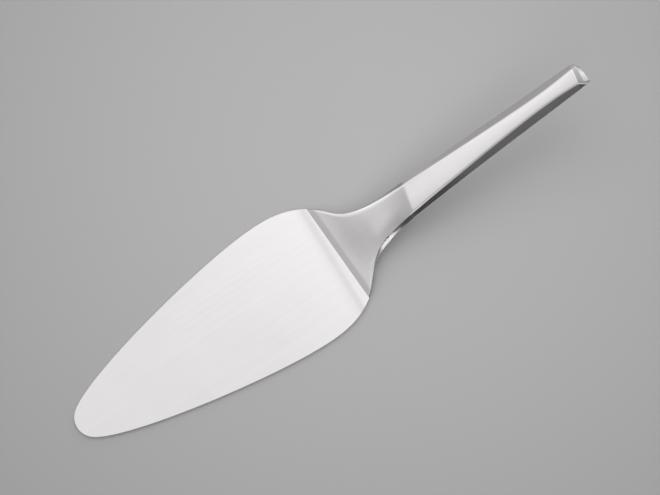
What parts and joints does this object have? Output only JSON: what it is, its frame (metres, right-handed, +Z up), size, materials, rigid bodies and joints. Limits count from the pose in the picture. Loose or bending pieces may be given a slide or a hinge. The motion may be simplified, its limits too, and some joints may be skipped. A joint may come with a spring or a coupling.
{
  "type": "cake server",
  "caption": "Flat leaf-shaped serving blade on a short cranked neck, with a long faceted hollow handle that rises at a low angle.",
  "frame": {"origin": "on the surface that the blade rests on, under the middle of the server's length and width", "axes": "+X from the blade's tip towards the handle's end, +Y across the blade, +Z up, square to the flat blade"},
  "size_m": [0.26, 0.06, 0.0362],
  "materials": {
    "blade_steel": "satin",
    "handle_steel": "satin",
    "filler": "matte"
  },
  "bodies": {
    "root": {"blade": "blade_steel", "handle_upper_shell": "handle_steel", "handle_lower_shell": "handle_steel", "handle_filler": "filler"}
  },
  "joints": []
}
